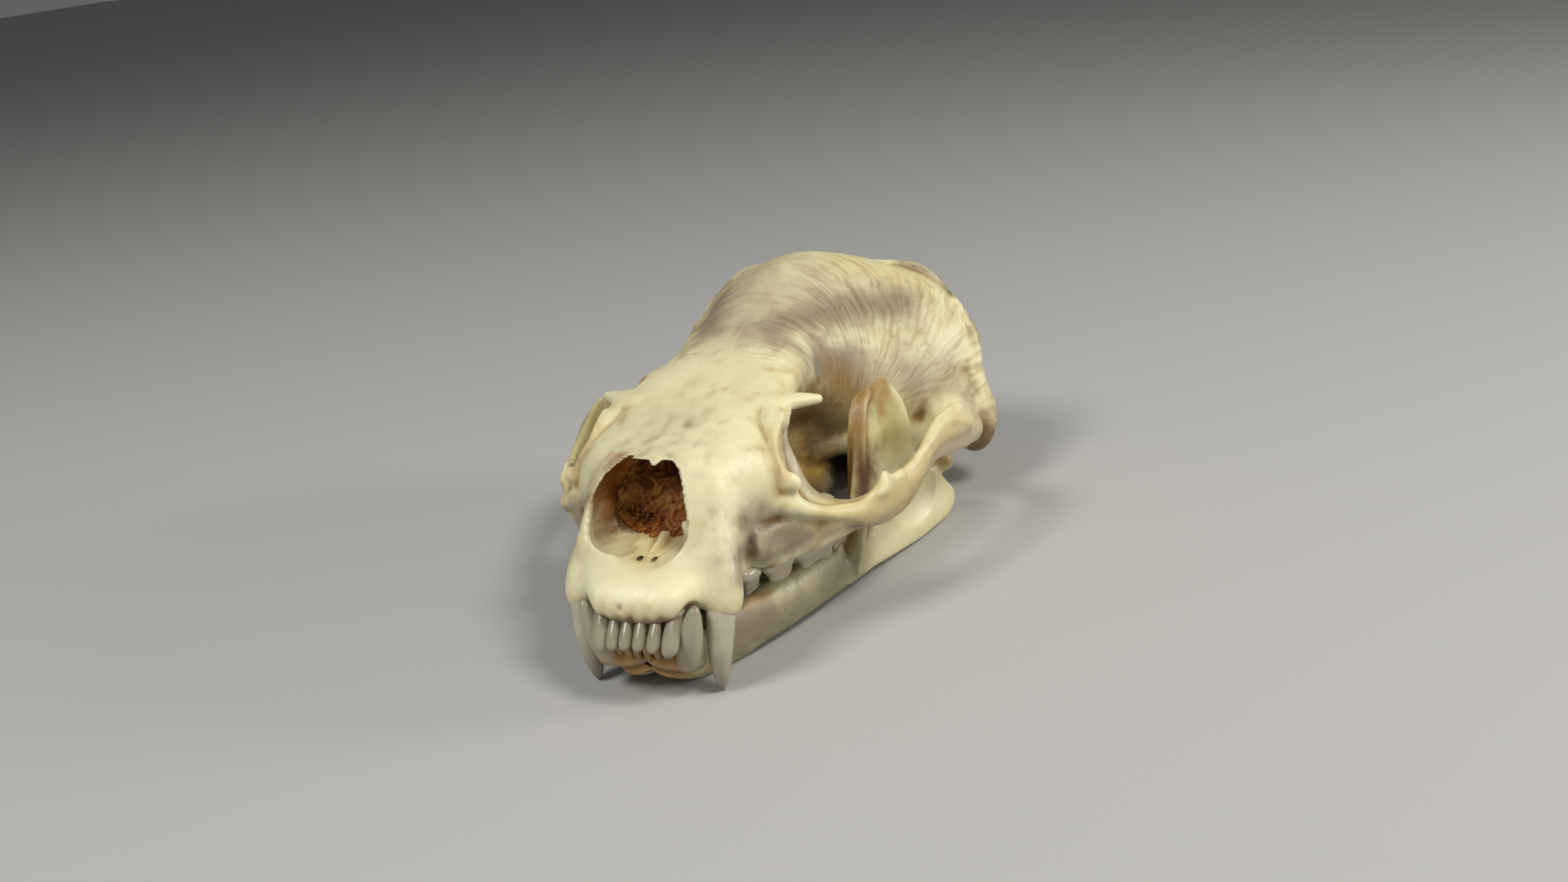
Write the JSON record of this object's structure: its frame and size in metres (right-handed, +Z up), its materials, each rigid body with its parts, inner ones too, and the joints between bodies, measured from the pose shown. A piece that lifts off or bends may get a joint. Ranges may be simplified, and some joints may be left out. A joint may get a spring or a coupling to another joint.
{
  "type": "otter skull",
  "caption": "Life-size skull of a river otter at rest on its closed jaw: low broad braincase, short face with a wide nasal opening, ringed orbits and worn teeth.",
  "frame": {"origin": "centre of the whole object's base, on the surface that the jaw lies on", "axes": "+Y from the nose to the back of the skull, along its length; +X to the skull's own left; +Z up"},
  "size_m": [0.0776, 0.1128, 0.0505],
  "materials": {
    "braincase_bone": "satin, dry bone with mauve-grey shading",
    "face_bone": "satin, cream-yellow dry bone with paler teeth",
    "arch_bone": "satin, dry bone",
    "jaw_bone": "satin, dry bone, brown stains at the chin, with paler teeth"
  },
  "bodies": {
    "root": {"braincase": "braincase_bone", "face": "face_bone", "zygomatic_arch_left": "arch_bone", "zygomatic_arch_right": "arch_bone", "mandible_left": "jaw_bone", "mandible_right": "jaw_bone"}
  },
  "joints": []
}
